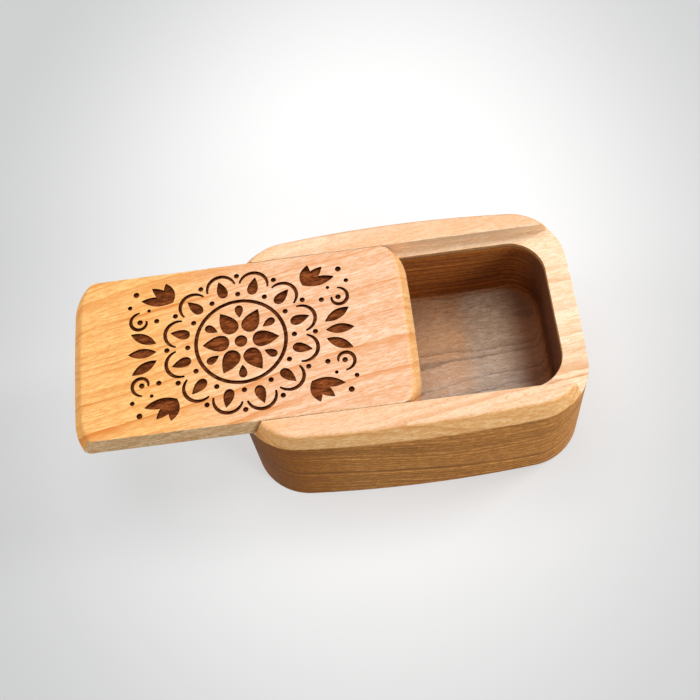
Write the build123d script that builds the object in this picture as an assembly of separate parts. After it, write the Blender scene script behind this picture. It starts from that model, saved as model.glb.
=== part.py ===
from build123d import *
import math
import os

# Driving dimensions, in millimetres and degrees

# The sanded block that the box and both ends of the lid share
block_length = 102.1
block_width = 71.5
block_height = 42.9
side_bow = 3.1
end_bow = 0.7
corner_radius = 17.4
base_edge_arris = 0.5
bevel_height = 5.4
bevel_crest_radius = 1.6
bevel_foot_radius = 2.6

# How far in the bevel's crest lies. It is sanded by hand, so it differs from corner to corner
bevel_side_inset = 2.8
bevel_left_inset = 3.3
bevel_right_inset = 2.4
bevel_near_left_inset = 0.9
bevel_near_right_inset = 2.6
crest_corner_radius = 14.5
crest_near_left_radius = 15.0
crest_near_right_radius = 13.0

# The dovetail channel across the top of the box, open at both ends
rail_width = 9.65
channel_depth = 5.5
dovetail_angle = 12.5
edge_arris = 0.15
rail_nose_easing = 0.8

# The routed pocket under the channel
end_wall = 7.1
side_wall = 11.65
pocket_corner_radius = 10.7
floor_thickness = 9.2
floor_cove_radius = 4.0
lip_depth = 1.7
lip_overhang = 0.4

# The sliding lid, and how far it stands open
lid_side_clearance = 0.12
lid_floor_clearance = 0.1
lid_corner_easing = 0.45
lid_opening = 48.3

# The ornament burnt into the lid: a rosette of petals, a ring, and seeds under scallops
engraving_depth = 0.9
hub_radius = 1.8
hub_sides = 8
petal_count = 6
petal_root = 3.5
petal_length = 7.8
petal_width = 5.0
petal_corner_shares = [0.1, 0.36, 0.7]
ring_radius = 13.35
ring_stroke = 0.7
ring_sides = 20
scallop_count = 12
scallop_circle = 18.7
scallop_radius = 4.4
scallop_stroke = 0.5
scallop_sweep = 168
scallop_sides = 4
seed_root = 15.6
seed_length = 5.8
seed_width = 3.0
seed_corner_shares = [0.12, 0.45]

# The fans of lancets beside the rosette: one at each end of the ornament and one in each corner
lancet_width = 2.9
lancet_corner_shares = [0.3, 0.7]
end_fan_root = 25.2
end_lancet_length = 8.2
end_lancet_turn = 28
end_lancet_spread = 2.8
corner_fan_x = 19.6
corner_fan_y = 15.9
corner_lancet_length = 9.6
corner_lancet_turns = [10, 42, 74]
corner_lancet_shortening = 1.4

# How the half width of a petal, a seed or a lancet grows from its root: see blade
round_root_power = 0.5
pointed_root_power = 1.0

# The dowel under the lid that runs in the pocket and stops the lid at both ends
stop_pin_diameter = 5.0
stop_pin_drop = 4.0
stop_pin_seat_depth = 3.4
stop_pin_arris = 0.4
stop_clearance = 0.1

# The disc magnets that hold the lid shut
magnet_diameter = 4.0
magnet_thickness = 1.5
magnet_arris = 0.2
magnet_margin = 1.1

# The glue gap around the dowel and the magnets
glue_gap = 0.05

# How close a point lies to a face or a height that it is on
on_face = 0.001

# Widths, heights and places that follow from the driving dimensions
channel_mouth_width = block_width - 2 * rail_width
pocket_length = block_length - 2 * end_wall
pocket_width = block_width - 2 * side_wall
channel_floor_z = block_height - channel_depth
lid_underside_z = channel_floor_z + lid_floor_clearance
lip_underside_z = channel_floor_z - lip_depth
stop_pin_closed_x = pocket_length / 2 - stop_clearance - stop_pin_diameter / 2
magnet_x = -(pocket_length / 2 + magnet_margin + magnet_diameter / 2)
lid_travel = 2 * stop_pin_closed_x


def bowed_outline(left, right, side, corner_insets, corner_radii):
    """Plan with four bowed sides, set in from the block's own by the insets given.

    The corners come in the order near left, near right, far right, far left.
    """
    corner_x = block_length / 2 - end_bow
    corner_y = block_width / 2 - side_bow
    near_left, near_right, far_right, far_left = corner_insets
    corners = [
        (-corner_x + left, -corner_y + near_left),
        (corner_x - right, -corner_y + near_right),
        (corner_x - right, corner_y - far_right),
        (-corner_x + left, corner_y - far_left),
    ]
    crests = [
        (0, -block_width / 2 + side),
        (block_length / 2 - right, 0),
        (0, block_width / 2 - side),
        (-block_length / 2 + left, 0),
    ]
    sides = []
    for index, crest in enumerate(crests):
        sides.append(ThreePointArc(corners[index], crest, corners[(index + 1) % 4]))
    plan = make_face(Wire(sides))
    for (x, y), radius in zip(corners, corner_radii):
        corner = plan.vertices().sort_by_distance(Vector(x, y, 0))[0]
        plan = fillet(corner, radius)
    return plan


def sanded_block():
    """The whole block, with the softened bevel round its top and an eased edge round its base."""
    foot_z = block_height - bevel_height
    outline = bowed_outline(0, 0, 0, [0, 0, 0, 0], [corner_radius] * 4)
    crest = bowed_outline(
        bevel_left_inset,
        bevel_right_inset,
        bevel_side_inset,
        [bevel_near_left_inset, bevel_near_right_inset, bevel_side_inset, bevel_side_inset],
        [crest_near_left_radius, crest_near_right_radius, crest_corner_radius, crest_corner_radius],
    )
    bevelled = loft([Pos(0, 0, foot_z) * outline, Pos(0, 0, block_height) * crest], ruled=True)
    block = extrude(outline, foot_z) + bevelled
    foot = block.edges().filter_by_position(Axis.Z, foot_z - on_face, foot_z + on_face)
    block = fillet(foot, bevel_foot_radius)
    block = fillet(block.faces().sort_by(Axis.Z)[-1].edges(), bevel_crest_radius)
    return chamfer(block.faces().sort_by(Axis.Z)[0].edges(), base_edge_arris)


def dovetail_bar(floor_z, side_clearance, mouth_flare):
    """Prism along X with the dovetail section: wide at floor_z, narrow at the top of the block.

    A positive flare widens the last of the mouth, which eases a channel's edges,
    and a negative flare narrows it, which eases a lid's edges.
    """
    slope = math.tan(math.radians(dovetail_angle))
    mouth_half = channel_mouth_width / 2 - side_clearance
    floor_half = mouth_half + (block_height - floor_z) * slope
    flare_z = block_height - abs(mouth_flare)
    flare_half = mouth_half + abs(mouth_flare) * slope
    over_z = block_height + abs(mouth_flare)
    over_half = flare_half + 2 * mouth_flare
    half_section = [(floor_half, floor_z), (flare_half, flare_z), (over_half, over_z)]
    mirrored = [(-y, z) for y, z in reversed(half_section)]
    section = Plane.YZ * make_face(Polyline(half_section + mirrored, close=True))
    return extrude(section, block_length, both=True)


def pocket_space():
    """What the router leaves empty: an eased mouth, a lip, and walls that meet the floor in a cove."""
    walls = RectangleRounded(
        pocket_length + 2 * lip_overhang,
        pocket_width + 2 * lip_overhang,
        pocket_corner_radius + lip_overhang,
    )
    room = extrude(Pos(0, 0, floor_thickness) * walls, lip_underside_z - floor_thickness)
    room = fillet(room.faces().sort_by(Axis.Z)[0].edges(), floor_cove_radius)
    lip_plan = RectangleRounded(pocket_length, pocket_width, pocket_corner_radius)
    lip_opening = extrude(Pos(0, 0, lip_underside_z) * lip_plan, lip_depth + edge_arris)
    mouth_plan = Pos(0, 0, channel_floor_z - edge_arris) * lip_plan
    mouth = extrude(mouth_plan, 2 * edge_arris, taper=-45)
    return room + lip_opening + mouth


def magnet_seat(mouth_z, direction):
    """Blind round hole that sinks a disc magnet flush with mouth_z, down (-1) or up (1)."""
    seat = Cylinder(magnet_diameter / 2 + glue_gap, magnet_thickness)
    return Pos(magnet_x, 0, mouth_z + direction * magnet_thickness / 2) * seat


def eased_flank_ends(shape, floor_z, easing):
    """Flattens the upright corners, above floor_z, where the dovetail flanks run out through the ends."""
    flank_half = (channel_mouth_width + channel_depth * math.tan(math.radians(dovetail_angle))) / 2
    corners = []
    for edge in shape.edges():
        middle = edge.position_at(0.5)
        at_flank = abs(abs(middle.Y) - flank_half) < rail_width / 8
        at_end = abs(middle.X) > block_length / 2 - corner_radius
        rise = edge.position_at(1) - edge.position_at(0)
        if at_flank and at_end and abs(rise.Z) > bevel_height / 2:
            corners.append((middle, rise))
    align_low = (Align.CENTER, Align.CENTER, Align.MIN)
    above_floor = Pos(0, 0, floor_z) * Box(2 * block_length, 2 * block_width, block_height, align=align_low)
    for middle, rise in corners:
        first, second = [face for face in shape.faces() if face.distance_to(middle) < on_face]
        outward = (first.normal_at(middle) + second.normal_at(middle)).normalized()
        flat = Plane(middle - outward * easing, x_dir=rise, z_dir=outward)
        shape -= (flat * Box(6 * bevel_height, bevel_height, bevel_height, align=align_low)) & above_floor
    return shape


def box_body():
    """The box: one block with the channel, the pocket and the seat of the rim magnet cut into it."""
    body = sanded_block() - dovetail_bar(channel_floor_z, 0, edge_arris)
    body -= pocket_space()
    body = eased_flank_ends(body, channel_floor_z, rail_nose_easing)
    return body - magnet_seat(channel_floor_z, -1)


def blade(length, width, root_power, corner_shares):
    """Flat blade along +X from the origin to its tip, with a corner on both sides at each share of its length.

    Its half width at a share s goes as s to the root power, times (1 - s): a power of 1 brings the root
    to a point too, and a smaller one rounds it like a drop.
    """
    widest = root_power / (1 + root_power)
    most = widest**root_power * (1 - widest)
    one_side = []
    for share in corner_shares:
        half_width = width / 2 * share**root_power * (1 - share) / most
        one_side.append((share * length, half_width))
    other_side = [(x, -y) for x, y in reversed(one_side)]
    return make_face(Polyline([(0, 0)] + one_side + [(length, 0)] + other_side, close=True))


def crescent():
    """Flat crescent round the origin, open towards -X, that narrows to a point at both ends."""
    outer = []
    inner = []
    for index in range(scallop_sides + 1):
        angle = math.radians(scallop_sweep) * (index / scallop_sides - 0.5)
        half_stroke = scallop_stroke / 2 * math.sin(math.pi * index / scallop_sides)
        for rim, radius in ((outer, scallop_radius + half_stroke), (inner, scallop_radius - half_stroke)):
            rim.append((radius * math.cos(angle), radius * math.sin(angle)))
    return make_face(Polyline(outer + inner[-2:0:-1], close=True))


def rosette():
    """Flat faces of the rosette, round the origin."""
    hub = RegularPolygon(hub_radius, hub_sides)
    ring = RegularPolygon(ring_radius + ring_stroke / 2, ring_sides)
    ring -= RegularPolygon(ring_radius - ring_stroke / 2, ring_sides)
    faces = [hub, ring]
    petal = Pos(petal_root, 0, 0) * blade(petal_length, petal_width, round_root_power, petal_corner_shares)
    for index in range(petal_count):
        faces.append(Rot(0, 0, 360 * index / petal_count) * petal)
    seed = Pos(seed_root, 0, 0) * blade(seed_length, seed_width, round_root_power, seed_corner_shares)
    scallop = Pos(scallop_circle, 0, 0) * crescent()
    for index in range(scallop_count):
        turn = Rot(0, 0, 360 * (index + 0.5) / scallop_count)
        faces += [turn * seed, turn * scallop]
    return faces


def placed_lancet(along, up, x, y, turn, length):
    """Lancet in the quarter that along and up name, with its root at x and y and its tip turned up."""
    heading = up * turn if along > 0 else 180 - up * turn
    lancet = blade(length, lancet_width, pointed_root_power, lancet_corner_shares)
    return Pos(along * x, up * y, 0) * Rot(0, 0, heading) * lancet


def fans():
    """Flat faces of the lancets beside the rosette."""
    faces = []
    for along in (-1, 1):
        faces.append(placed_lancet(along, 1, end_fan_root, 0, 0, end_lancet_length))
        for up in (-1, 1):
            faces.append(placed_lancet(along, up, end_fan_root, end_lancet_spread, end_lancet_turn, end_lancet_length))
            for index, turn in enumerate(corner_lancet_turns):
                length = corner_lancet_length - index * corner_lancet_shortening
                faces.append(placed_lancet(along, up, corner_fan_x, corner_fan_y, turn, length))
    return faces


def closed_lid():
    """The lid where it closes the box, its ends flush with the block's own ends."""
    lid = sanded_block() & dovetail_bar(lid_underside_z, lid_side_clearance, -edge_arris)
    lid = eased_flank_ends(lid, lid_underside_z, lid_corner_easing)
    pin_radius = stop_pin_diameter / 2 + glue_gap
    pin_seat = Pos(stop_pin_closed_x, 0, lid_underside_z) * Cylinder(pin_radius, 2 * stop_pin_seat_depth)
    lid = lid - pin_seat - magnet_seat(lid_underside_z, 1)
    on_recess_floor = Pos(0, 0, block_height - engraving_depth)
    return lid - [extrude(on_recess_floor * face, 2 * engraving_depth) for face in rosette() + fans()]


def closed_stop_pin():
    """Dowel glued into the lid's underside, with eased ends."""
    pin_length = stop_pin_seat_depth + stop_pin_drop
    pin = chamfer(Cylinder(stop_pin_diameter / 2, pin_length).edges(), stop_pin_arris)
    centre_z = lid_underside_z + stop_pin_seat_depth - pin_length / 2
    return Pos(stop_pin_closed_x, 0, centre_z) * pin


def disc_magnet(centre_z):
    """Disc magnet with eased rims, centred over the left rim of the box."""
    disc = chamfer(Cylinder(magnet_diameter / 2, magnet_thickness).edges(), magnet_arris)
    return Pos(magnet_x, 0, centre_z) * disc


def solid_of(shape):
    """The one solid that a piece is made of."""
    solids = shape.solids()
    if len(solids) != 1:
        raise ValueError(f"a piece has {len(solids)} solids")
    return solids[0]


def build_pieces():
    """Every piece by name, with the lid and what is glued to it slid open along -X."""
    slid_open = Pos(-lid_opening, 0, 0)
    rim_magnet_z = channel_floor_z - magnet_thickness / 2
    lid_magnet_z = lid_underside_z + magnet_thickness / 2
    return {
        "box_body": box_body(),
        "rim_magnet": disc_magnet(rim_magnet_z),
        "sliding_lid": slid_open * closed_lid(),
        "lid_stop_pin": slid_open * closed_stop_pin(),
        "lid_magnet": slid_open * disc_magnet(lid_magnet_z),
    }


def main():
    os.makedirs("parts", exist_ok=True)
    for name, shape in build_pieces().items():
        piece = solid_of(shape)
        piece.label = name
        export_step(piece, f"parts/{name}.step")
        print(name, "volume", round(piece.volume, 1), "mm3")
    closing = lid_opening
    opening = lid_travel - lid_opening
    print("lid travel from the rest pose:", round(-opening, 3), "to", round(closing, 3), "mm")


main()
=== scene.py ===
"""Dresses the sliding-lid keepsake box: its routed block, its engraved lid, the dowel and the magnets."""

import math

import bmesh
import bpy
from mathutils import Matrix, Vector


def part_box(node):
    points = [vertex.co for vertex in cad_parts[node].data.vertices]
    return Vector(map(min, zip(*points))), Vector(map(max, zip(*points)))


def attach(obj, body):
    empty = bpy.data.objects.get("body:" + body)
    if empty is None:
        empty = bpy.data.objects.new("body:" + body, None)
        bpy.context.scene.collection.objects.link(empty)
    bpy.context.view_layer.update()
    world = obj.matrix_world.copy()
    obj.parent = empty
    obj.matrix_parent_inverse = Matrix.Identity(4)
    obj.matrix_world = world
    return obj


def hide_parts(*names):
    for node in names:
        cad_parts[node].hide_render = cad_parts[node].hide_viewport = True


bl_info = {
    "name": "Sliding-lid keepsake box",
    "version": (1, 0, 0),
    "blender": (4, 5, 0),
    "location": "3D View > Sidebar > Keepsake Box",
    "description": "Models and finishes a routed cherry box with an engraved sliding lid",
    "category": "Object",
}

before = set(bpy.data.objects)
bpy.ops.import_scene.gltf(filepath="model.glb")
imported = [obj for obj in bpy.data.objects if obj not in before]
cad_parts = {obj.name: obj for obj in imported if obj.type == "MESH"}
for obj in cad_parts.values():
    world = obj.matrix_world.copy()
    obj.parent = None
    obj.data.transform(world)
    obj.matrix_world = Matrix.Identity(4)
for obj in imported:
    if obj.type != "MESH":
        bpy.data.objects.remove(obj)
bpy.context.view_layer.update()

MM = 0.001
UP = Vector((0, 0, 1))

# Edges that turn by more than this stay sharp in the shading
SHARP_ANGLE = math.radians(32)

body_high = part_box("box_body")[1]
lid_low, lid_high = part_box("sliding_lid")
pin_low, pin_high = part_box("lid_stop_pin")
channel_floor_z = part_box("rim_magnet")[1].z
top_z = body_high.z
lid_centre = Vector(((lid_low.x + lid_high.x) / 2, 0, top_z))


def colour_property(name, description, default):
    """A colour that the sidebar shows as a swatch."""
    return bpy.props.FloatVectorProperty(
        name=name, description=description, subtype="COLOR", size=3, min=0, max=1, default=default
    )


def length_property(name, description, default):
    """A length, given in metres."""
    return bpy.props.FloatProperty(name=name, description=description, unit="LENGTH", default=default)


def angle_property(name, description, degrees):
    """An angle, given in degrees and held in radians."""
    return bpy.props.FloatProperty(
        name=name, description=description, subtype="ANGLE", default=math.radians(degrees)
    )


def power_property(name, description, default):
    """The power of a lamp, given in watts."""
    return bpy.props.FloatProperty(name=name, description=description, unit="POWER", default=default)


class WoodSettings(bpy.types.PropertyGroup):
    """Colours of the cherry, the dowel, the magnets and the burnt recesses."""

    rail: colour_property("Rail", "Sanded top of the rails", (0.99, 0.73, 0.52))
    rail_warm: colour_property("Rail, warm", "Warmer streaks in the top of the rails", (0.98, 0.64, 0.42))
    bevel: colour_property("Bevel", "Sanded bevel round the top edge", (0.98, 0.67, 0.34))
    edge: colour_property("Edge", "Orange upper edge and left end of the bevel", (0.95, 0.54, 0.21))
    side: colour_property("Side", "Upright outer faces of the block", (0.95, 0.47, 0.135))
    # Painted shade: the sides are darker towards the left end, where the lid's overhang shades them
    side_heart: colour_property("Side, heart", "Darker wood towards its left end", (0.57, 0.20, 0.010))
    rings: colour_property("Rings", "Dark edge of a growth ring in the block", (0.62, 0.24, 0.06))
    side_rings: colour_property("Side rings", "Ring lines in the upright faces", (0.20, 0.075, 0.012))
    pale_shade: colour_property("Pale shade", "Tint of the open fibres in a pale face", (0.84, 0.64, 0.46))
    deep_shade: colour_property("Deep shade", "Tint of the open fibres in a brown face", (0.47, 0.37, 0.24))
    channel: colour_property("Channel", "Machined faces of the channel and the rims", (0.99, 0.83, 0.63))
    lip: colour_property("Lip", "Short step at the pocket's mouth", (0.66, 0.38, 0.18))
    pocket_wall: colour_property("Pocket wall", "Toasted walls that the router leaves", (0.62, 0.21, 0.026))
    # Darker end grain, and with it painted shade on the pocket's right wall, which faces away from the light
    pocket_end: colour_property("Pocket end", "End grain of the pocket's walls", (0.22, 0.064, 0.008))
    pocket_floor: colour_property("Pocket floor", "Floor of the pocket", (1.0, 0.81, 0.65))
    # Painted light: the near side of the pocket's floor is made paler, where more light falls on it
    pocket_pale: colour_property("Pocket, near side", "Paler near side of its floor", (1.0, 0.88, 0.77))
    # Painted light: the left part of the floor turns orange where the light on it changes, the right part
    # staying greyer
    pocket_patch: colour_property("Pocket patch", "Orange patch in the pocket's floor", (0.99, 0.60, 0.33))
    # Painted shade: the floor darkens towards the right wall, whose shadow falls there
    pocket_scorch: colour_property("Pocket scorch", "Burnt right end of its floor", (0.21, 0.065, 0.014))
    pocket_rings: colour_property("Pocket rings", "Ring lines inside the pocket", (0.085, 0.025, 0.005))
    lid_honey: colour_property("Lid, outer end", "Honey tone of the lid's outer end", (0.985, 0.615, 0.245))
    lid_pink: colour_property("Lid, inner end", "Paler, pinker tone of its other end", (0.97, 0.71, 0.53))
    lid_heart: colour_property("Lid, heart", "Darker bands in the lid's inner end", (0.86, 0.50, 0.31))
    lid_outer_bevel: colour_property("Lid's outer bevel", "Sanded outer end of the lid", (0.97, 0.545, 0.165))
    lid_bevel: colour_property("Lid's inner bevel", "Sanded inner end of the lid", (0.98, 0.66, 0.33))
    lid_rings: colour_property("Lid rings", "Dark edge of a growth ring in the lid", (0.70, 0.235, 0.045))
    lid_flank: colour_property("Lid flank", "Machined flanks and underside of the lid", (0.98, 0.71, 0.42))
    burnt_floor: colour_property("Burnt floor", "Bottom of the engraved recesses", (0.43, 0.122, 0.036))
    burnt_dark: colour_property("Burnt floor, dark", "Dark mottling of the recesses", (0.14, 0.034, 0.009))
    charred: colour_property("Charred wall", "Walls of the engraved recesses", (0.035, 0.007, 0.002))
    dowel: colour_property("Dowel", "Birch dowel under the lid", (0.74, 0.58, 0.38))
    nickel: colour_property("Magnets", "Nickel plating", (0.72, 0.71, 0.68))
    nickel_worn: colour_property("Magnets, worn", "Handling marks in the plating", (0.55, 0.54, 0.51))


class EngravingSettings(bpy.types.PropertyGroup):
    """Sizes of the rosette and the fans of lancets that are burnt into the lid."""

    depth: length_property("Depth", "How deep the recesses go", 1.0 * MM)
    stroke: length_property("Stroke", "Width of the drawn lines", 1.15 * MM)
    hub_radius: length_property("Hub radius", "Disc at the centre", 1.9 * MM)
    petal_root: length_property("Petal root", "Where the petals begin", 3.4 * MM)
    petal_length: length_property("Petal length", "Length of a petal", 8.0 * MM)
    petal_width: length_property("Petal width", "Width of a petal", 5.2 * MM)
    ring_radius: length_property("Ring radius", "Middle of the ring round the petals", 13.3 * MM)
    scallop_circle: length_property("Scallop circle", "Circle that the scallops are centred on", 18.7 * MM)
    scallop_radius: length_property("Scallop radius", "Bend of one scallop", 4.3 * MM)
    seed_root: length_property("Seed root", "Where the seed under a scallop begins", 15.5 * MM)
    seed_length: length_property("Seed length", "Length of a seed", 6.0 * MM)
    seed_width: length_property("Seed width", "Width of a seed", 3.2 * MM)
    bead_radius: length_property("Bead radius", "The dots between the larger forms", 0.8 * MM)
    lancet_width: length_property("Lancet width", "Width of a blade in a fan", 3.2 * MM)
    end_fan_root: length_property("End fan root", "Where the fan at each end begins", 25.2 * MM)
    corner_fan_x: length_property("Corner fan, along", "Root of a corner's fan, along the lid", 19.6 * MM)
    corner_fan_y: length_property("Corner fan, across", "Root of a corner's fan, across the lid", 15.9 * MM)
    petals: bpy.props.IntProperty(name="Petals", description="Petals in the rosette", default=6, min=3)
    scallops: bpy.props.IntProperty(name="Scallops", description="Scallops round the rim", default=12, min=6)


class StageSettings(bpy.types.PropertyGroup):
    """Camera, lamps and floor."""

    target: bpy.props.FloatVectorProperty(
        name="Target", description="Point that the camera looks at", subtype="XYZ", unit="LENGTH",
        size=3, default=(-17.67 * MM, 6.15 * MM, 15.30 * MM),
    )
    distance: length_property("Distance", "From the camera to its target", 365.0 * MM)
    azimuth: angle_property("Azimuth", "Camera's turn round the box", 3.37)
    elevation: angle_property("Elevation", "Camera's height angle", 63.59)
    roll: angle_property("Roll", "Tilt of the picture", -10.42)
    lens: bpy.props.FloatProperty(
        name="Lens", description="Focal length in millimetres", unit="CAMERA", default=59.42
    )
    floor_light: colour_property("Floor", "Floor colour as the camera sees it, near the box", (1.0, 1.0, 1.0))
    floor_dim: colour_property("Floor, far", "Floor colour far from the box", (0.59, 0.595, 0.60))
    key_power: power_property("Key", "Watts of the key lamp", 3.1)
    top_power: power_property("Top", "Watts of the soft top lamp", 3.7)
    left_power: power_property("Left", "Watts of the lamp on the left", 1.9)
    fill_power: power_property("Fill", "Watts of the lamp in front", 5.0)
    world_strength: bpy.props.FloatProperty(name="World", description="The even light", default=0.26)


class KeepsakeBoxSettings(bpy.types.PropertyGroup):
    """All the settings of the box."""

    wood: bpy.props.PointerProperty(type=WoodSettings)
    engraving: bpy.props.PointerProperty(type=EngravingSettings)
    stage: bpy.props.PointerProperty(type=StageSettings)


def settings():
    """The settings of the box in the open scene."""
    return bpy.context.scene.keepsake_box


# Noises in the grain and the finishes, in features per millimetre along X, Y and Z

LONG_WANDER = (0.013, 0.03, 0.03)
SHORT_WANDER = (0.07, 0.35, 0.35)
RING_BREAKS = (0.05, 0.3, 0.3)
FIBRES = (0.32, 1.9, 1.9)
GRIT = (1.0, 2.6, 2.6)
FLECKS = (0.75, 2.6, 2.6)
CUTTER_CHATTER = (0.40, 1.35, 1.35)
BURNT_MOTTLE = (0.30, 0.85, 0.85)
SOOT = (1.2, 1.2, 0.4)
DOWEL_FIBRES = (2.6, 2.6, 0.15)
HANDLING_MARKS = (2.0, 0.3, 2.0)

# How far the short wander moves a ring, in millimetres, and how much the grit darkens any wood

SHORT_WANDER_REACH = 1.7
GRIT_STRENGTH = 0.25


# Node helpers


def add_node(tree, kind, inputs=None, **options):
    """A node of a kind, with its options and the values or links of its inputs."""
    node = tree.nodes.new(kind)
    for name, value in options.items():
        setattr(node, name, value)
    for key, value in (inputs or {}).items():
        feed(tree, node.inputs[key], value)
    return node


def feed(tree, socket, value):
    """Links a socket to an output, or sets its value, with an alpha of 1 where a colour has none."""
    if isinstance(value, bpy.types.NodeSocket):
        tree.links.new(value, socket)
    elif socket.type == "RGBA" and len(value) == 3:
        socket.default_value = (*value, 1.0)
    else:
        socket.default_value = value


def maths(tree, operation, first, second=0.0, third=0.0):
    """The output of one Math node."""
    return add_node(tree, "ShaderNodeMath", {0: first, 1: second, 2: third}, operation=operation).outputs[0]


def inverse(tree, mask):
    """1 less a mask."""
    return maths(tree, "SUBTRACT", 1.0, mask)


def blend(tree, mask, at_zero, at_one):
    """A value that goes from one number to another as a mask goes from 0 to 1."""
    return maths(tree, "MULTIPLY_ADD", mask, at_one - at_zero, at_zero)


def vector_maths(tree, operation, first, second=(0.0, 0.0, 0.0)):
    """The vector output of one Vector Math node."""
    return add_node(tree, "ShaderNodeVectorMath", {0: first, 1: second}, operation=operation).outputs[0]


def length_of(tree, vector):
    """The length of a vector."""
    return add_node(tree, "ShaderNodeVectorMath", {0: vector}, operation="LENGTH").outputs["Value"]


def components(tree, vector):
    """The X, Y and Z of a vector, by name."""
    return add_node(tree, "ShaderNodeSeparateXYZ", {0: vector}).outputs


def in_millimetres(tree, place):
    """A place that is given in metres, in millimetres."""
    return vector_maths(tree, "MULTIPLY", place, (1 / MM, 1 / MM, 1 / MM))


def noise(tree, place, scale, detail=2.0, roughness=0.5):
    """A noise about 0.5, stretched by scale, which is given in features per unit of place."""
    inputs = {
        "Vector": vector_maths(tree, "MULTIPLY", place, scale),
        "Scale": 1.0,
        "Detail": detail,
        "Roughness": roughness,
    }
    return add_node(tree, "ShaderNodeTexNoise", inputs).outputs["Fac"]


def noise_along(tree, number, scale, detail, roughness=0.5):
    """A noise about 0.5 that changes with one number."""
    inputs = {"W": number, "Scale": scale, "Detail": detail, "Roughness": roughness}
    return add_node(tree, "ShaderNodeTexNoise", inputs, noise_dimensions="1D").outputs["Fac"]


def smooth_step(tree, value, low, high):
    """0 at low, 1 at high and smooth between them. It falls where low is the larger."""
    inputs = {"Value": value, "From Min": low, "From Max": high, "To Min": 0.0, "To Max": 1.0}
    return add_node(tree, "ShaderNodeMapRange", inputs, interpolation_type="SMOOTHSTEP").outputs["Result"]


def mixed(tree, factor, first, second, kind="MIX"):
    """The colour between two colours."""
    inputs = {0: factor, 6: first, 7: second}
    return add_node(tree, "ShaderNodeMix", inputs, data_type="RGBA", blend_type=kind).outputs[2]


def tinted(tree, colour, tint):
    """A colour multiplied by a tint."""
    return mixed(tree, 1.0, colour, tint, "MULTIPLY")


def new_group(name, inputs, outputs):
    """An empty shader node group, with the sockets of its entry and those of its exit."""
    group = bpy.data.node_groups.new(name, "ShaderNodeTree")
    for socket_name, kind in inputs:
        group.interface.new_socket(socket_name, in_out="INPUT", socket_type=kind)
    for socket_name, kind in outputs:
        group.interface.new_socket(socket_name, in_out="OUTPUT", socket_type=kind)
    return group, group.nodes.new("NodeGroupInput").outputs, group.nodes.new("NodeGroupOutput").inputs


def shared_group(builder):
    """The node group that a builder makes, made once."""
    name = builder.__name__.replace("_", " ")
    return bpy.data.node_groups.get(name) or builder(name)


def ring_lines(group, place, count):
    """Dark lines at a count of rings: slow to darken, sharply ended, of uneven strength and broken."""
    count = maths(group, "MULTIPLY_ADD", noise_along(group, count, 0.6, detail=1.0), 2.2, count)
    part = maths(group, "FRACT", count)
    rise = maths(group, "POWER", smooth_step(group, part, 0.20, 0.94), 2.3)
    fall = inverse(group, smooth_step(group, part, 0.95, 1.0))
    whole_count = {"W": maths(group, "FLOOR", count)}
    each = add_node(group, "ShaderNodeTexWhiteNoise", whole_count, noise_dimensions="1D")
    strength = blend(group, each.outputs["Value"], 0.35, 1.0)
    line = maths(group, "MULTIPLY", maths(group, "MULTIPLY", rise, fall), strength)
    unbroken = smooth_step(group, noise(group, place, RING_BREAKS), 0.30, 0.62)
    return maths(group, "MULTIPLY", line, blend(group, unbroken, 0.4, 1.0))


def cherry_grain(name):
    """Growth rings round a pith line along X, the layers and bands between them, fibres, grit and flecks."""
    group, given, result = new_group(
        name,
        [
            ("Position", "NodeSocketVector"),
            ("Pith", "NodeSocketVector"),
            ("Ring spacing", "NodeSocketFloat"),
            ("Wander", "NodeSocketFloat"),
            ("Seed", "NodeSocketFloat"),
        ],
        [(part, "NodeSocketFloat") for part in ("Ring", "Layer", "Band", "Fibre", "Grit", "Fleck")],
    )
    in_mm = in_millimetres(group, given["Position"])
    moved = vector_maths(group, "ADD", in_mm, given["Seed"])
    from_pith = vector_maths(group, "SUBTRACT", in_mm, given["Pith"])
    across = vector_maths(group, "MULTIPLY", from_pith, (0.0, 1.0, 1.0))
    slow = maths(group, "SUBTRACT", noise(group, moved, LONG_WANDER, detail=1.0), 0.5)
    quick = noise(group, moved, SHORT_WANDER, detail=3.0, roughness=0.55)
    quick = maths(group, "SUBTRACT", quick, 0.5)
    radius = maths(group, "MULTIPLY_ADD", slow, given["Wander"], length_of(group, across))
    radius = maths(group, "MULTIPLY_ADD", quick, SHORT_WANDER_REACH, radius)
    count = maths(group, "DIVIDE", radius, given["Ring spacing"])
    feed(group, result["Ring"], ring_lines(group, moved, count))
    layers = noise_along(group, radius, 0.95, detail=4.0, roughness=0.72)
    feed(group, result["Layer"], smooth_step(group, layers, 0.37, 0.63))
    bands = noise_along(group, radius, 0.19, detail=2.0)
    feed(group, result["Band"], smooth_step(group, bands, 0.36, 0.62))
    fibres = noise(group, moved, FIBRES, detail=2.0, roughness=0.6)
    feed(group, result["Fibre"], smooth_step(group, fibres, 0.35, 0.65))
    grit = noise(group, moved, GRIT, detail=1.0)
    feed(group, result["Grit"], smooth_step(group, grit, 0.35, 0.65))
    flecks = noise(group, moved, FLECKS, detail=2.0, roughness=0.55)
    feed(group, result["Fleck"], smooth_step(group, flecks, 0.55, 0.70))
    return group


def way_up(name):
    """How far a face looks up, as one mask for the level faces and one for the upright faces."""
    group, given, result = new_group(
        name, [("Normal", "NodeSocketVector")], [("Level", "NodeSocketFloat"), ("Upright", "NodeSocketFloat")]
    )
    height = components(group, given["Normal"])["Z"]
    feed(group, result["Level"], smooth_step(group, height, 0.55, 0.97))
    feed(group, result["Upright"], inverse(group, smooth_step(group, height, 0.02, 0.38)))
    return group


class Board:
    """A board as it was sawn. Its turn is in degrees, and its pith, spacing and wander in millimetres."""

    def __init__(self, turn, pith, spacing, wander, seed):
        self.turn = [math.radians(angle) for angle in turn]
        self.pith = pith
        self.spacing = spacing
        self.wander = wander
        self.seed = seed


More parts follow.
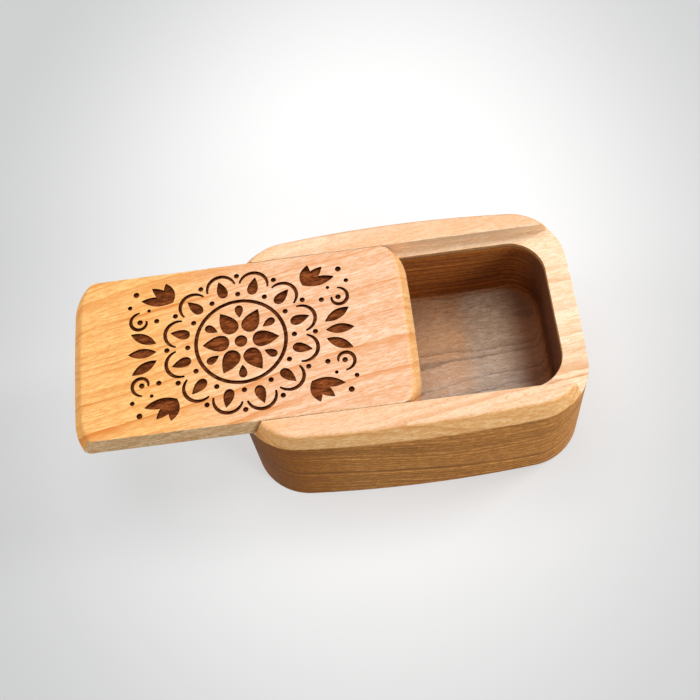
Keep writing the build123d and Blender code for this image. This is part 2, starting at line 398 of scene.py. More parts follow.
BLOCK = Board(turn=(1.5, 0.5, -7.0), pith=(0.0, 26.0, -60.0), spacing=2.6, wander=9.0, seed=3.0)
LID = Board(turn=(0.0, -1.5, -11.0), pith=(0.0, -62.0, 12.0), spacing=3.8, wander=11.0, seed=40.0)


def new_material(name, specular=0.1):
    """A material with a Principled shader alone, as the material, its tree and the shader."""
    material = bpy.data.materials.new(name)
    material.use_nodes = True
    tree = material.node_tree
    tree.nodes.clear()
    shader = tree.nodes.new("ShaderNodeBsdfPrincipled")
    shader.inputs["Specular IOR Level"].default_value = specular
    tree.links.new(shader.outputs[0], tree.nodes.new("ShaderNodeOutputMaterial").inputs[0])
    return material, tree, shader


def grain_of(tree, board):
    """Texture coordinates, and the grain of a board laid along them."""
    coordinates = add_node(tree, "ShaderNodeTexCoord").outputs
    placed = add_node(tree, "ShaderNodeMapping", {"Vector": coordinates["Object"], "Rotation": board.turn})
    inputs = {
        "Position": placed.outputs[0],
        "Pith": board.pith,
        "Ring spacing": board.spacing,
        "Wander": board.wander,
        "Seed": board.seed,
    }
    group = tree.nodes.new("ShaderNodeGroup")
    group.node_tree = shared_group(cherry_grain)
    for name, value in inputs.items():
        feed(tree, group.inputs[name], value)
    return coordinates, group.outputs


def place_in_mm(tree):
    """The place on the object, in millimetres."""
    return in_millimetres(tree, add_node(tree, "ShaderNodeTexCoord").outputs["Object"])


def facing_masks(tree, normal):
    """The masks of the level and the upright faces."""
    group = tree.nodes.new("ShaderNodeGroup")
    group.node_tree = shared_group(way_up)
    feed(tree, group.inputs["Normal"], normal)
    return group.outputs["Level"], group.outputs["Upright"]


def wooden(tree, grain, colour, dark, shade, ring, layer, fibre, fleck):
    """A colour shaded by its layers, fibres and grit, with rings and flecks over it, each by its strength."""
    shaded = maths(tree, "MULTIPLY", inverse(tree, grain["Layer"]), layer)
    shaded = maths(tree, "MULTIPLY_ADD", inverse(tree, grain["Fibre"]), fibre, shaded)
    shaded = maths(tree, "MULTIPLY_ADD", inverse(tree, grain["Grit"]), GRIT_STRENGTH, shaded)
    toned = mixed(tree, shaded, colour, tinted(tree, colour, shade))
    toned = mixed(tree, maths(tree, "MULTIPLY", grain["Ring"], ring), toned, dark)
    return mixed(tree, maths(tree, "MULTIPLY", grain["Fleck"], fleck), toned, dark)


def bumped(tree, shader, height, depth, strength=0.7):
    """Bumps a shader's surface by a height, up to a depth in metres."""
    bump = add_node(tree, "ShaderNodeBump", {"Height": height, "Distance": depth, "Strength": strength})
    feed(tree, shader.inputs["Normal"], bump.outputs[0])


def raise_grain(tree, shader, grain, depth):
    """Stands the fibres proud and sinks the flecks, up to a depth in metres."""
    sunk = maths(tree, "MULTIPLY", grain["Fleck"], 0.3)
    bumped(tree, shader, maths(tree, "SUBTRACT", grain["Fibre"], sunk), depth)


def satin(tree, shader, mask, low, high):
    """A finish that goes from a low to a high roughness as a mask goes from 0.3 to 0.7."""
    inputs = {"Value": mask, "From Min": 0.3, "From Max": 0.7, "To Min": low, "To Max": high}
    feed(tree, shader.inputs["Roughness"], add_node(tree, "ShaderNodeMapRange", inputs).outputs[0])


def sanded_block_material():
    """Outside of the block: pale rails, a bevel that is orange at its upper edge, and brown, ringed sides
    with painted shade towards the left end.
    """
    wood = settings().wood
    material, tree, shader = new_material("sanded cherry block", specular=0.05)
    coordinates, grain = grain_of(tree, BLOCK)
    place = components(tree, coordinates["Object"])
    level, upright = facing_masks(tree, coordinates["Normal"])
    rail = mixed(tree, smooth_step(tree, grain["Band"], 0.2, 0.9), wood.rail, wood.rail_warm)
    # The sides take the painted shade colour towards the left end, under the lid's overhang
    side = mixed(tree, smooth_step(tree, place["X"], -46 * MM, -14 * MM), wood.side_heart, wood.side)
    left_end = smooth_step(tree, place["X"], -32 * MM, -50 * MM)
    upper_edge = smooth_step(tree, place["Z"], top_z - 3 * MM, top_z)
    upper_edge = maths(tree, "MULTIPLY", upper_edge, grain["Layer"])
    upper_edge = maths(tree, "MULTIPLY", upper_edge, inverse(tree, level))
    orange = maths(tree, "MAXIMUM", left_end, upper_edge)
    pale = mixed(tree, maths(tree, "MULTIPLY", orange, 0.8), mixed(tree, level, wood.bevel, rail), wood.edge)
    tone = wooden(
        tree,
        grain,
        colour=mixed(tree, upright, pale, side),
        dark=mixed(tree, upright, wood.rings, wood.side_rings),
        shade=mixed(tree, upright, wood.pale_shade, wood.deep_shade),
        ring=blend(tree, level, 0.85, 0.65),
        layer=blend(tree, upright, 0.30, 0.75),
        fibre=blend(tree, level, 0.70, 0.35),
        fleck=blend(tree, level, 0.55, 0.35),
    )
    feed(tree, shader.inputs["Base Color"], tone)
    satin(tree, shader, grain["Fibre"], 0.44, 0.62)
    raise_grain(tree, shader, grain, 0.03 * MM)
    return material


def plain_wood_material(name, board, colour, dark, shade, strengths, roughness, depth):
    """Wood of one colour, with strengths for its ring, layer, fibre and fleck, and a roughness range."""
    material, tree, shader = new_material(name)
    grain = grain_of(tree, board)[1]
    feed(tree, shader.inputs["Base Color"], wooden(tree, grain, colour, dark, shade, **strengths))
    satin(tree, shader, grain["Fibre"], *roughness)
    raise_grain(tree, shader, grain, depth)
    return material


def channel_material():
    """Machined channel and rims, paler and yellower than the rails."""
    wood = settings().wood
    strengths = {"ring": 0.80, "layer": 0.3, "fibre": 0.45, "fleck": 0.2}
    tones = (wood.channel, wood.rings, wood.pale_shade)
    return plain_wood_material("machined cherry channel", BLOCK, *tones, strengths, (0.50, 0.68), 0.03 * MM)


def lip_material():
    """Short upright step at the mouth of the pocket."""
    wood = settings().wood
    strengths = {"ring": 0.5, "layer": 0.5, "fibre": 0.3, "fleck": 0.2}
    tones = (wood.lip, wood.pocket_rings, wood.deep_shade)
    return plain_wood_material("cherry pocket lip", BLOCK, *tones, strengths, (0.50, 0.65), 0.03 * MM)


def lid_flank_material():
    """Machined flanks and underside of the lid."""
    wood = settings().wood
    strengths = {"ring": 0.35, "layer": 0.3, "fibre": 0.45, "fleck": 0.45}
    tones = (wood.lid_flank, wood.lid_rings, wood.deep_shade)
    return plain_wood_material("machined cherry lid flank", LID, *tones, strengths, (0.52, 0.70), 0.05 * MM)


def pocket_floor_tone(tree, grain, place, chatter, right_end_painted_shade):
    """Floor of the pocket: an orange patch of painted light, dull torn wood with painted shade towards the
    far side, and painted shade at the right end.
    """
    wood = settings().wood
    # Painted light: the left part of the floor takes the orange patch colour
    patch = smooth_step(tree, place["X"], 23 * MM, 17 * MM)
    patch = maths(tree, "MULTIPLY", blend(tree, grain["Layer"], 0.7, 1.0), patch)
    ground = mixed(tree, patch, wood.pocket_floor, wood.pocket_patch)
    torn = blend(tree, smooth_step(tree, place["X"], 0, 30 * MM), 0.16, 0.42)
    torn = maths(tree, "MULTIPLY", inverse(tree, chatter), torn)
    # Dull torn wood and grain bands, made stronger towards the far side as painted shade from the far wall
    torn_and_painted_shade = maths(tree, "MULTIPLY_ADD", grain["Band"], 0.24, torn)
    far_painted_shade = smooth_step(tree, place["Y"], -22 * MM, 16 * MM)
    torn_and_painted_shade = maths(tree, "MULTIPLY", torn_and_painted_shade, blend(tree, far_painted_shade, 0.25, 1.0))
    ground = mixed(tree, torn_and_painted_shade, ground, tinted(tree, ground, wood.deep_shade))
    # Painted shade darkens the right end of the floor
    return mixed(tree, maths(tree, "MULTIPLY", right_end_painted_shade, 0.95), ground, wood.pocket_scorch)


def pocket_material():
    """Inside of the pocket: dark ringed walls with painted shade on the right wall, and a polished, torn
    floor made paler on its near side as painted light.
    """
    wood = settings().wood
    material, tree, shader = new_material("routed cherry pocket", specular=0.4)
    coordinates, grain = grain_of(tree, BLOCK)
    facing = components(tree, coordinates["Normal"])
    place = components(tree, coordinates["Object"])
    in_mm = in_millimetres(tree, coordinates["Object"])
    chatter = noise(tree, in_mm, CUTTER_CHATTER, detail=3.0, roughness=0.65)
    chatter = smooth_step(tree, chatter, 0.40, 0.60)
    low_down = smooth_step(tree, facing["Z"], 0.35, 0.98)
    # Walls that face along the block take the darker end-grain colour, which also paints shade on the right
    # wall
    end_grain_and_shade = smooth_step(tree, maths(tree, "ABSOLUTE", facing["X"]), 0.35, 0.95)
    # Painted shade at the right end of the floor, where the right wall shades it
    right_end_painted_shade = smooth_step(tree, place["X"], 27 * MM, 40 * MM)
    walls = mixed(tree, end_grain_and_shade, wood.pocket_wall, wood.pocket_end)
    ground = pocket_floor_tone(tree, grain, place, chatter, right_end_painted_shade)
    tone = wooden(
        tree,
        grain,
        colour=mixed(tree, low_down, walls, ground),
        dark=wood.pocket_rings,
        shade=mixed(tree, low_down, wood.deep_shade, wood.pale_shade),
        ring=0.9,
        layer=blend(tree, low_down, 0.7, 0.2),
        fibre=0.45,
        fleck=0.35,
    )
    # Painted light on the near side of the floor, broken by the chatter and kept off the painted shade at the
    # right end
    near_side = smooth_step(tree, place["Y"], 8 * MM, -27 * MM)
    floor_off_right_end = maths(tree, "MAXIMUM", maths(tree, "SUBTRACT", low_down, right_end_painted_shade), 0.0)
    painted_near_light = maths(tree, "MULTIPLY", floor_off_right_end, near_side)
    painted_near_light = maths(tree, "MULTIPLY", painted_near_light, blend(tree, chatter, 0.24, 0.84))
    feed(tree, shader.inputs["Base Color"], mixed(tree, painted_near_light, tone, wood.pocket_pale))
    polished = maths(tree, "MULTIPLY", low_down, inverse(tree, right_end_painted_shade))
    ripple = blend(tree, chatter, 0.70, 0.82)
    feed(tree, shader.inputs["Roughness"], maths(tree, "MULTIPLY_ADD", polished, -0.34, ripple))
    bumped(tree, shader, maths(tree, "MULTIPLY_ADD", chatter, 2.0, grain["Fibre"]), 0.08 * MM)
    return material


def sanded_lid_material():
    """Top and ends of the lid, honey at its outer end and pinker, with darker bands, towards the box."""
    wood = settings().wood
    material, tree, shader = new_material("sanded cherry lid")
    coordinates, grain = grain_of(tree, LID)
    along = components(tree, coordinates["Object"])["X"]
    pink = smooth_step(tree, along, lid_centre.x - 30 * MM, lid_centre.x + 14 * MM)
    level, _ = facing_masks(tree, coordinates["Normal"])
    inner = mixed(tree, maths(tree, "MULTIPLY", grain["Band"], 0.45), wood.lid_pink, wood.lid_heart)
    bevel = mixed(tree, pink, wood.lid_outer_bevel, wood.lid_bevel)
    tone = wooden(
        tree,
        grain,
        colour=mixed(tree, level, bevel, mixed(tree, pink, wood.lid_honey, inner)),
        dark=wood.lid_rings,
        shade=wood.pale_shade,
        ring=blend(tree, pink, 1.3, 0.8),
        layer=0.32,
        fibre=0.72,
        fleck=0.30,
    )
    feed(tree, shader.inputs["Base Color"], tone)
    satin(tree, shader, grain["Fibre"], 0.44, 0.62)
    raise_grain(tree, shader, grain, 0.025 * MM)
    return material


def burnt_floor_material():
    """Bottom of a burnt recess, mottled along the grain."""
    wood = settings().wood
    material, tree, shader = new_material("burnt engraving floor", specular=0.03)
    coordinates, grain = grain_of(tree, LID)
    in_mm = in_millimetres(tree, coordinates["Object"])
    mottle = noise(tree, in_mm, BURNT_MOTTLE, detail=4.0, roughness=0.65)
    tone = wooden(
        tree,
        grain,
        colour=mixed(tree, smooth_step(tree, mottle, 0.36, 0.62), wood.burnt_dark, wood.burnt_floor),
        dark=wood.burnt_dark,
        shade=wood.deep_shade,
        ring=0.35,
        layer=0.3,
        fibre=0.5,
        fleck=0.3,
    )
    feed(tree, shader.inputs["Base Color"], tone)
    shader.inputs["Roughness"].default_value = 0.78
    bumped(tree, shader, maths(tree, "ADD", mottle, grain["Fibre"]), 0.15 * MM, strength=0.8)
    return material


def charred_wall_material():
    """Charred walls of the recesses."""
    wood = settings().wood
    material, tree, shader = new_material("charred engraving wall", specular=0.03)
    soot = smooth_step(tree, noise(tree, place_in_mm(tree), SOOT, detail=3.0, roughness=0.6), 0.4, 0.75)
    feed(tree, shader.inputs["Base Color"], mixed(tree, soot, wood.charred, wood.burnt_dark))
    shader.inputs["Roughness"].default_value = 0.85
    return material


def dowel_material():
    """Birch dowel with fine grain along its length."""
    wood = settings().wood
    material, tree, shader = new_material("birch dowel")
    fibre = noise(tree, place_in_mm(tree), DOWEL_FIBRES, detail=4.0, roughness=0.6)
    tone = mixed(tree, smooth_step(tree, fibre, 0.3, 0.75), wood.dowel, wood.channel)
    feed(tree, shader.inputs["Base Color"], tone)
    shader.inputs["Roughness"].default_value = 0.6
    bumped(tree, shader, fibre, 0.05 * MM, strength=0.6)
    return material


def nickel_material():
    """Bright nickel plating with faint handling marks."""
    wood = settings().wood
    material, tree, shader = new_material("nickel plating")
    marks = noise(tree, place_in_mm(tree), HANDLING_MARKS, detail=4.0, roughness=0.7)
    tone = mixed(tree, smooth_step(tree, marks, 0.3, 0.7), wood.nickel, wood.nickel_worn)
    feed(tree, shader.inputs["Base Color"], tone)
    shader.inputs["Metallic"].default_value = 1.0
    satin(tree, shader, marks, 0.18, 0.34)
    return material


# Mesh helpers. Shapes are worked in millimetres and finished in metres.


def merged_copy(node_name):
    """A bmesh copy of a node's solid, with its corners joined and its flats made whole."""
    shape = bmesh.new()
    shape.from_mesh(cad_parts[node_name].data)
    bmesh.ops.scale(shape, verts=shape.verts, vec=(1 / MM, 1 / MM, 1 / MM))
    bmesh.ops.remove_doubles(shape, verts=shape.verts, dist=0.0005)
    bmesh.ops.dissolve_limit(
        shape,
        angle_limit=math.radians(0.05),
        use_dissolve_boundaries=False,
        verts=shape.verts,
        edges=shape.edges,
    )
    return shape


def object_from(shape, name):
    """A loose object made of a shape."""
    mesh = bpy.data.meshes.new(name)
    shape.to_mesh(mesh)
    shape.free()
    made = bpy.data.objects.new(name, mesh)
    bpy.context.scene.collection.objects.link(made)
    return made


def finished_piece(shape, name, node, body, materials, choose=None):
    """An object that stands for a node and rides a body. choose says which material each face has."""
    bmesh.ops.recalc_face_normals(shape, faces=shape.faces)
    for face in shape.faces:
        face.smooth = True
        if choose:
            face.material_index = choose(face.calc_center_median(), face.normal)
    for edge in shape.edges:
        if len(edge.link_faces) == 2 and edge.calc_face_angle() > SHARP_ANGLE:
            edge.smooth = False
    bmesh.ops.scale(shape, verts=shape.verts, vec=(MM, MM, MM))
    piece = object_from(shape, name)
    for material in materials:
        piece.data.materials.append(material)
    even = piece.modifiers.new("Even shading", "WEIGHTED_NORMAL")
    even.mode = "FACE_AREA"
    even.keep_sharp = True
    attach(piece, body)
    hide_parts(node)
    return piece


def rounded_cylinder(low, high, easing):
    """An upright cylinder with eased rims that fills a box from low to high."""
    shape = bmesh.new()
    radius = (high.x - low.x) / 2
    middle = Matrix.Translation((low + high) / 2)
    bmesh.ops.create_cone(
        shape, cap_ends=True, segments=48, radius1=radius, radius2=radius, depth=high.z - low.z, matrix=middle
    )
    rims = [edge for edge in shape.edges if abs(edge.verts[0].co.z - edge.verts[1].co.z) < 0.001]
    bmesh.ops.bevel(
        shape,
        geom=rims,
        offset=easing,
        offset_type="OFFSET",
        segments=3,
        profile=0.5,
        affect="EDGES",
        material=-1,
    )
    return shape


# Ornament burnt into the lid, drawn flat in millimetres round the middle of its top


# Its smaller forms, beside those in the settings, in millimetres and degrees

DROP_INSET = 1.4
DROP_LENGTH = 4.2
DROP_WIDTH = 2.5
RING_BEAD_GAP = 2.5
SCALLOP_BEAD_GAP = 3.3
SCALLOP_SWEEP = 176
END_LANCET_LENGTH = 8.2
END_LANCET_SPREAD = 2.8
END_LANCET_TURN = 28
CORNER_LANCET_LENGTH = 9.6
CORNER_LANCET_SHORTENING = 1.4
CORNER_LANCET_TURNS = (10, 42, 74)
BLUNT_TIP = 0.15
SCROLL_CENTRE = (29.7, 10.4)
SCROLL_SWEEP = -280
SCROLL_RADII = (3.2, 1.9)
SCROLL_STROKE = 1.15
SCROLL_EYE = 0.85

# The beads of a corner: along, across and radius

CORNER_BEADS = ((24.7, 10.2, 0.8), (30.6, 19.9, 0.9), (32.6, 15.7, 0.7), (26.9, 14.0, 0.55))


def along_ray(heading, reach):
    """The point at a heading and a reach from the middle."""
    return Vector((math.cos(heading) * reach, math.sin(heading) * reach))


def flat_disc(shape, centre, radius):
    """A flat disc."""
    place = Matrix.Translation((*centre, 0))
    bmesh.ops.create_circle(shape, cap_ends=True, radius=radius, segments=28, matrix=place)


def flat_blade(shape, root, heading, length, width, pointed):
    """A flat blade along a heading, with a pointed tip and a root that is pointed too or round."""
    rim = bmesh.ops.create_circle(shape, cap_ends=True, radius=1.0, segments=36)["verts"]
    half_widths = {}
    for vert in rim:
        along = (vert.co.x + 1) / 2
        half_widths[vert] = vert.co.y * abs(1 - along) ** 0.5 * (abs(along) ** 0.5 if pointed else 1)
    widest = max(half_widths.values())
    for vert, half_width in half_widths.items():
        along = (vert.co.x + 1) / 2
        vert.co = (along * length, half_width / widest * width / 2, 0)
    placed = Matrix.Translation((*root, 0)) @ Matrix.Rotation(heading, 4, "Z")
    bmesh.ops.transform(shape, matrix=placed, verts=rim)


def flat_ring(shape, radius, stroke):
    """A flat ring round the middle."""
    rim = bmesh.ops.create_circle(shape, cap_ends=False, radius=radius - stroke / 2, segments=96)["verts"]
    inner = list(dict.fromkeys(edge for vert in rim for edge in vert.link_edges))
    outer = bmesh.ops.extrude_edge_only(shape, edges=inner)["geom"]
    moved = [item for item in outer if isinstance(item, bmesh.types.BMVert)]
    grown = (radius + stroke / 2) / (radius - stroke / 2)
    bmesh.ops.scale(shape, verts=moved, vec=(grown, grown, 1))


def flat_scroll(shape, centre, start, sweep, start_radius, end_radius, stroke):
    """A flat line round a centre, from one radius to another, that narrows to blunt ends."""
    steps = round(abs(sweep) / math.radians(7))
    edge = shape.edges.new((shape.verts.new(), shape.verts.new()))
    rows = [list(edge.verts)]
    for _ in range(steps):
        strip = bmesh.ops.extrude_edge_only(shape, edges=[edge])["geom"]
        edge = next(item for item in strip if isinstance(item, bmesh.types.BMEdge))
        rows.append(list(edge.verts))
    for index, row in enumerate(rows):
        part = index / steps
        off_end = min(max(part, 0.03), 0.97)
        swell = 0.3 + 0.7 * math.sin(math.pi * off_end) ** 0.5
        reach = start_radius + (end_radius - start_radius) * part
        for vert, side in zip(row, (-1, 1)):
            vert.co = (centre + along_ray(start + sweep * part, reach + side * stroke / 2 * swell)).to_3d()


def draw_rosette(shape, sizes):
    """Petals round a hub, a ring, and seeds under scallops, with beads between them."""
    stroke = sizes.stroke / MM
    ring_radius = sizes.ring_radius / MM
    scallop_circle = sizes.scallop_circle / MM
    scallop_radius = sizes.scallop_radius / MM
    scallop_sweep = math.radians(SCALLOP_SWEEP)
    bead_radius = sizes.bead_radius / MM
    flat_disc(shape, (0, 0), sizes.hub_radius / MM)
    flat_ring(shape, ring_radius, stroke)
    for index in range(sizes.petals):
        heading = math.tau * index / sizes.petals
        root = along_ray(heading, sizes.petal_root / MM)
        flat_blade(shape, root, heading, sizes.petal_length / MM, sizes.petal_width / MM, False)
        between = heading + math.pi / sizes.petals
        root = along_ray(between, ring_radius - DROP_INSET)
        flat_blade(shape, root, between + math.pi, DROP_LENGTH, DROP_WIDTH, False)
    for index in range(sizes.scallops):
        heading = math.tau * index / sizes.scallops
        flat_disc(shape, along_ray(heading, ring_radius + RING_BEAD_GAP), bead_radius)
        flat_disc(shape, along_ray(heading, scallop_circle + SCALLOP_BEAD_GAP), bead_radius)
        between = heading + math.pi / sizes.scallops
        root = along_ray(between, sizes.seed_root / MM)
        flat_blade(shape, root, between, sizes.seed_length / MM, sizes.seed_width / MM, False)
        centre = along_ray(between, scallop_circle)
        start = between - scallop_sweep / 2
        flat_scroll(shape, centre, start, scallop_sweep, scallop_radius, scallop_radius, stroke)


def draw_fans(shape, sizes, along):
    """Lancets, scrolls and beads beside the rosette, on the left (-1) or the right (1)."""
    lancet_width = sizes.lancet_width / MM
    end_fan_root = sizes.end_fan_root / MM
    corner_fan_x = sizes.corner_fan_x / MM
    corner_fan_y = sizes.corner_fan_y / MM

    def lancet(x, y, turn, length):
        heading = turn if along > 0 else math.pi - turn
        root = Vector((along * x, y)) - along_ray(heading, BLUNT_TIP)
        flat_blade(shape, root, heading, length + 2 * BLUNT_TIP, lancet_width, True)

    lancet(end_fan_root, 0, 0, END_LANCET_LENGTH)
    for up in (-1, 1):
        lancet(end_fan_root, up * END_LANCET_SPREAD, up * math.radians(END_LANCET_TURN), END_LANCET_LENGTH)
        for index, turn in enumerate(CORNER_LANCET_TURNS):
            length = CORNER_LANCET_LENGTH - CORNER_LANCET_SHORTENING * index
            lancet(corner_fan_x, up * corner_fan_y, up * math.radians(turn), length)
        centre = Vector((along * SCROLL_CENTRE[0], up * SCROLL_CENTRE[1]))
        start = up * math.pi / 2 if along > 0 else math.pi - up * math.pi / 2
        sweep = along * up * math.radians(SCROLL_SWEEP)
        flat_scroll(shape, centre, start, sweep, *SCROLL_RADII, SCROLL_STROKE)
        flat_disc(shape, centre, SCROLL_EYE)
        for x, y, radius in CORNER_BEADS:
            flat_disc(shape, (along * x, up * y), radius)


def engraving_cutter(sizes):
    """Solid of the whole ornament, from above the lid's top down to the bottom of the recesses."""
    shape = bmesh.new()
    draw_rosette(shape, sizes)
    for along in (-1, 1):
        draw_fans(shape, sizes, along)
    bmesh.ops.recalc_face_normals(shape, faces=shape.faces)
    above = 0.3
    bmesh.ops.translate(shape, verts=shape.verts, vec=lid_centre / MM + UP * above)
    lowered = bmesh.ops.extrude_face_region(shape, geom=list(shape.faces), use_keep_orig=True)["geom"]
    bottom = [item for item in lowered if isinstance(item, bmesh.types.BMVert)]
    bmesh.ops.translate(shape, verts=bottom, vec=-UP * (above + sizes.depth / MM))
    bmesh.ops.recalc_face_normals(shape, faces=shape.faces)
    return shape


def carved(blank, cutter):
    """The blank with the cutter taken out of it."""
    blank = object_from(blank, "lid blank")
    cutter = object_from(cutter, "engraving cutter")
    cut = blank.modifiers.new("Engraving", "BOOLEAN")
    cut.operation = "DIFFERENCE"
    cut.solver = "EXACT"
    cut.use_self = True
    cut.object = cutter
    carved_mesh = bpy.data.meshes.new_from_object(blank.evaluated_get(bpy.context.evaluated_depsgraph_get()))
    shape = bmesh.new()
    shape.from_mesh(carved_mesh)
    bpy.data.meshes.remove(carved_mesh)
    for spent in (blank, cutter):
        bpy.data.meshes.remove(spent.data)
    return shape


class KEEPSAKE_OT_box_body(bpy.types.Operator):
    """Model the block with its channel and its pocket"""

    bl_idname = "keepsake.box_body"
    bl_label = "Box Body"

    def execute(self, context):
        channel_z = channel_floor_z / MM
        rail_inside = body_high.y / MM - 9.4
        flank_foot = rail_inside + 2
        pocket_end = body_high.x / MM - 6.2
        pocket_side = rail_inside - 1.5
        lip_bottom = channel_z - 1.75
        outside, channel, lip, pocket = range(4)

        def choose(middle, normal):
            along, across = abs(middle.x), abs(middle.y)
            on_floor = abs(middle.z - channel_z) < 0.05 and normal.z > 0.9
            on_flank = middle.z > channel_z and across < flank_foot and abs(normal.y) > 0.9
            on_flank_edge = middle.z > channel_z + 5 and across < rail_inside + 0.1 and abs(normal.y) > 0.6
            if on_floor or on_flank or on_flank_edge:
                return channel
            if along < pocket_end and across < pocket_side and 2 < middle.z < channel_z:
                return lip if middle.z > lip_bottom and normal.z > -0.5 else pocket
            return outside

        materials = [sanded_block_material(), channel_material(), lip_material(), pocket_material()]
        shape = merged_copy("box_body")
        name = "block_with_channel_and_pocket"
        finished_piece(shape, name, "box_body", "box", materials, choose)
        return {"FINISHED"}


class KEEPSAKE_OT_lid(bpy.types.Operator):
    """Model the lid with its engraved ornament"""

    bl_idname = "keepsake.lid"
    bl_label = "Engraved Lid"

    def execute(self, context):
        sizes = settings().engraving
        shape = carved(merged_copy("sliding_lid"), engraving_cutter(sizes))
        slack = 0.02
        under_top = top_z / MM - slack
        recess_z = top_z / MM - sizes.depth / MM - slack
        half_length = 36
        half_width = 24.8
        top, flank, burnt, charred = range(4)

        def choose(middle, normal):
            along, across = abs(middle.x - lid_centre.x / MM), abs(middle.y)
            if along < half_length and across < half_width and recess_z < middle.z < under_top:
                return burnt if normal.z > 0.5 else charred
            if normal.z < -0.5 or (abs(normal.y) > 0.6 and across > half_width + 1):
                return flank
            return top

        materials = [
            sanded_lid_material(),
            lid_flank_material(),
            burnt_floor_material(),
            charred_wall_material(),
        ]
        finished_piece(shape, "engraved_lid", "sliding_lid", "lid", materials, choose)
        return {"FINISHED"}


class KEEPSAKE_OT_stop_pin(bpy.types.Operator):
    """Model the dowel that stops the lid"""

    bl_idname = "keepsake.stop_pin"
    bl_label = "Stop Pin"

    def execute(self, context):
        shape = rounded_cylinder(pin_low / MM, pin_high / MM, 0.4)
        finished_piece(shape, "stop_dowel", "lid_stop_pin", "lid", [dowel_material()])
        return {"FINISHED"}


class KEEPSAKE_OT_magnets(bpy.types.Operator):
    """Model the two disc magnets"""

    bl_idname = "keepsake.magnets"
    bl_label = "Magnets"

    def execute(self, context):
        plating = nickel_material()
        for node, body in (("rim_magnet", "box"), ("lid_magnet", "lid")):
            low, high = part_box(node)
            shape = rounded_cylinder(low / MM, high / MM, 0.2)
            finished_piece(shape, f"{node}_disc", node, body, [plating])
        return {"FINISHED"}


def seen_directly(tree):
    """1 for what the camera sees, also in a reflection or through glass, and 0 for what lights the box."""
    path = tree.nodes.new("ShaderNodeLightPath").outputs
    direct = maths(tree, "MAXIMUM", path["Is Camera Ray"], path["Is Glossy Ray"])
    return maths(tree, "MAXIMUM", direct, path["Is Transmission Ray"])


# Half a side of the floor, and how far it lies below the box

FLOOR_REACH = 3.0
FLOOR_DROP = 0.02 * MM

# The pool of light on the floor: its middle, its turn and how far it reaches

POOL_MIDDLE = (-0.010, 0.047, 0.0)
POOL_TURN = (0.0, 0.0, math.radians(-7))
POOL_REACH = (0.138, 0.195, 1.0)

# How much the floor near the box takes light and shadow, and the grey with which it lights the box

SHADOW_SHARE = 0.44
BOUNCE_GREY = (0.30, 0.30, 0.30)

# Each lamp's place, size and colour, by the setting that holds its watts

WHITE = (1.0, 1.0, 1.0)
WARM_WHITE = (1.0, 0.99, 0.97)
LAMPS = {
    "key_power": ((0.62, 0.22, 0.62), 0.25, WARM_WHITE),
    "top_power": ((-0.10, 0.22, 0.94), 0.60, WHITE),
    "left_power": ((-0.70, 0.10, 0.35), 0.30, WHITE),
    "fill_power": ((0.68, -0.62, 0.42), 0.35, WARM_WHITE),
}


def floor_material(stage):
    """Matt pale floor. The camera sees a soft pool of light round the box, with the box's shadow in it."""
    material = bpy.data.materials.new("pale floor")
    material.use_nodes = True
    tree = material.node_tree
    tree.nodes.clear()
    coordinates = tree.nodes.new("ShaderNodeTexCoord").outputs
    pool = add_node(
        tree,
        "ShaderNodeMapping",
        {
            "Vector": coordinates["Object"],
            "Location": POOL_MIDDLE,
            "Rotation": POOL_TURN,
            "Scale": POOL_REACH,
        },
        vector_type="TEXTURE",
    )
    away = smooth_step(tree, length_of(tree, pool.outputs[0]), 0.15, 1.15)
    seen = mixed(tree, away, stage.floor_light, stage.floor_dim)
    glow = add_node(tree, "ShaderNodeEmission", {"Color": seen, "Strength": 1.0}).outputs[0]
    lit = add_node(tree, "ShaderNodeBsdfDiffuse", {"Color": seen}).outputs[0]
    near_box = smooth_step(tree, length_of(tree, coordinates["Object"]), 0.9, 0.3)
    shaded = maths(tree, "MULTIPLY", near_box, SHADOW_SHARE)
    shown = add_node(tree, "ShaderNodeMixShader", {0: shaded, 1: glow, 2: lit}).outputs[0]
    matt = add_node(tree, "ShaderNodeBsdfDiffuse", {"Color": BOUNCE_GREY}).outputs[0]
    both = add_node(tree, "ShaderNodeMixShader", {0: seen_directly(tree), 1: matt, 2: shown})
    tree.links.new(both.outputs[0], tree.nodes.new("ShaderNodeOutputMaterial").inputs[0])
    return material


def even_light(stage):
    """A world that lights the box evenly and looks like the far floor."""
    world = bpy.data.worlds.new("even light")
    world.use_nodes = True
    tree = world.node_tree
    tree.nodes.clear()
    light = add_node(tree, "ShaderNodeBackground", {"Color": WHITE, "Strength": stage.world_strength})
    seen = add_node(tree, "ShaderNodeBackground", {"Color": stage.floor_dim, "Strength": 1.0})
    both = add_node(
        tree, "ShaderNodeMixShader", {0: seen_directly(tree), 1: light.outputs[0], 2: seen.outputs[0]}
    )
    tree.links.new(both.outputs[0], tree.nodes.new("ShaderNodeOutputWorld").inputs[0])
    return world


def area_lamp(name, place, target, size, watts, colour):
    """A square soft lamp aimed at a point."""
    data = bpy.data.lights.new(name, "AREA")
    data.size = size
    data.energy = watts
    data.color = colour
    lamp = bpy.data.objects.new(name, data)
    bpy.context.scene.collection.objects.link(lamp)
    lamp.location = place
    lamp.rotation_euler = (target - lamp.location).to_track_quat("-Z", "Y").to_euler()


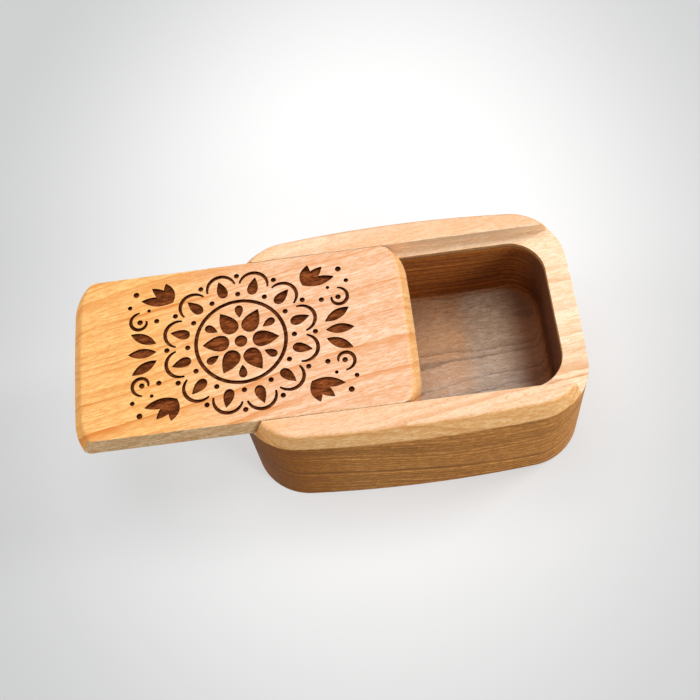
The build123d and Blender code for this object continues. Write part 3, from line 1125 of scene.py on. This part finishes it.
def place_camera(context, stage):
    """The camera at its azimuth, elevation and distance from the target, rolled about its line of sight."""
    data = bpy.data.cameras.new("camera")
    data.lens = stage.lens
    data.sensor_width = 36.0
    data.clip_start = 0.01
    camera = bpy.data.objects.new("camera", data)
    context.scene.collection.objects.link(camera)
    level = math.cos(stage.elevation)
    back_x = math.sin(stage.azimuth) * level
    back_y = -math.cos(stage.azimuth) * level
    back = Vector((back_x, back_y, math.sin(stage.elevation)))
    across = UP.cross(back).normalized()
    upright = back.cross(across)
    right = across * math.cos(stage.roll) + upright * math.sin(stage.roll)
    turned = Matrix((right, back.cross(right), back)).transposed()
    camera.location = Vector(stage.target) + back * stage.distance
    camera.rotation_euler = turned.to_euler()
    context.scene.camera = camera


class KEEPSAKE_OT_stage(bpy.types.Operator):
    """Set up the floor, the lamps and the camera"""

    bl_idname = "keepsake.stage"
    bl_label = "Stage"

    def execute(self, context):
        stage = settings().stage
        shape = bmesh.new()
        bmesh.ops.create_grid(shape, x_segments=1, y_segments=1, size=FLOOR_REACH)
        floor = object_from(shape, "floor")
        floor.location.z = -FLOOR_DROP
        floor.data.materials.append(floor_material(stage))
        target = Vector(stage.target)
        for power, (place, size, colour) in LAMPS.items():
            area_lamp(power.replace("_power", " lamp"), place, target, size, getattr(stage, power), colour)
        context.scene.world = even_light(stage)
        place_camera(context, stage)
        context.scene.view_settings.view_transform = "Standard"
        return {"FINISHED"}


class KEEPSAKE_PT_sidebar(bpy.types.Panel):
    """Lists the steps that make the box"""

    bl_label = "Keepsake Box"
    bl_idname = "KEEPSAKE_PT_sidebar"
    bl_space_type = "VIEW_3D"
    bl_region_type = "UI"
    bl_category = "Keepsake Box"

    def draw(self, context):
        for operator in OPERATORS:
            self.layout.operator(operator.bl_idname)


OPERATORS = (
    KEEPSAKE_OT_box_body,
    KEEPSAKE_OT_lid,
    KEEPSAKE_OT_stop_pin,
    KEEPSAKE_OT_magnets,
    KEEPSAKE_OT_stage,
)
SETTINGS = (WoodSettings, EngravingSettings, StageSettings, KeepsakeBoxSettings)
CLASSES = (*SETTINGS, *OPERATORS, KEEPSAKE_PT_sidebar)


def register():
    """Registers the classes and the scene's settings."""
    for kind in CLASSES:
        bpy.utils.register_class(kind)
    bpy.types.Scene.keepsake_box = bpy.props.PointerProperty(type=KeepsakeBoxSettings)


def unregister():
    """Undoes register."""
    del bpy.types.Scene.keepsake_box
    for kind in reversed(CLASSES):
        bpy.utils.unregister_class(kind)


def main():
    """Makes every piece and the stage."""
    register()
    bpy.ops.keepsake.box_body()
    bpy.ops.keepsake.lid()
    bpy.ops.keepsake.stop_pin()
    bpy.ops.keepsake.magnets()
    bpy.ops.keepsake.stage()


if __name__ == "__main__":
    main()
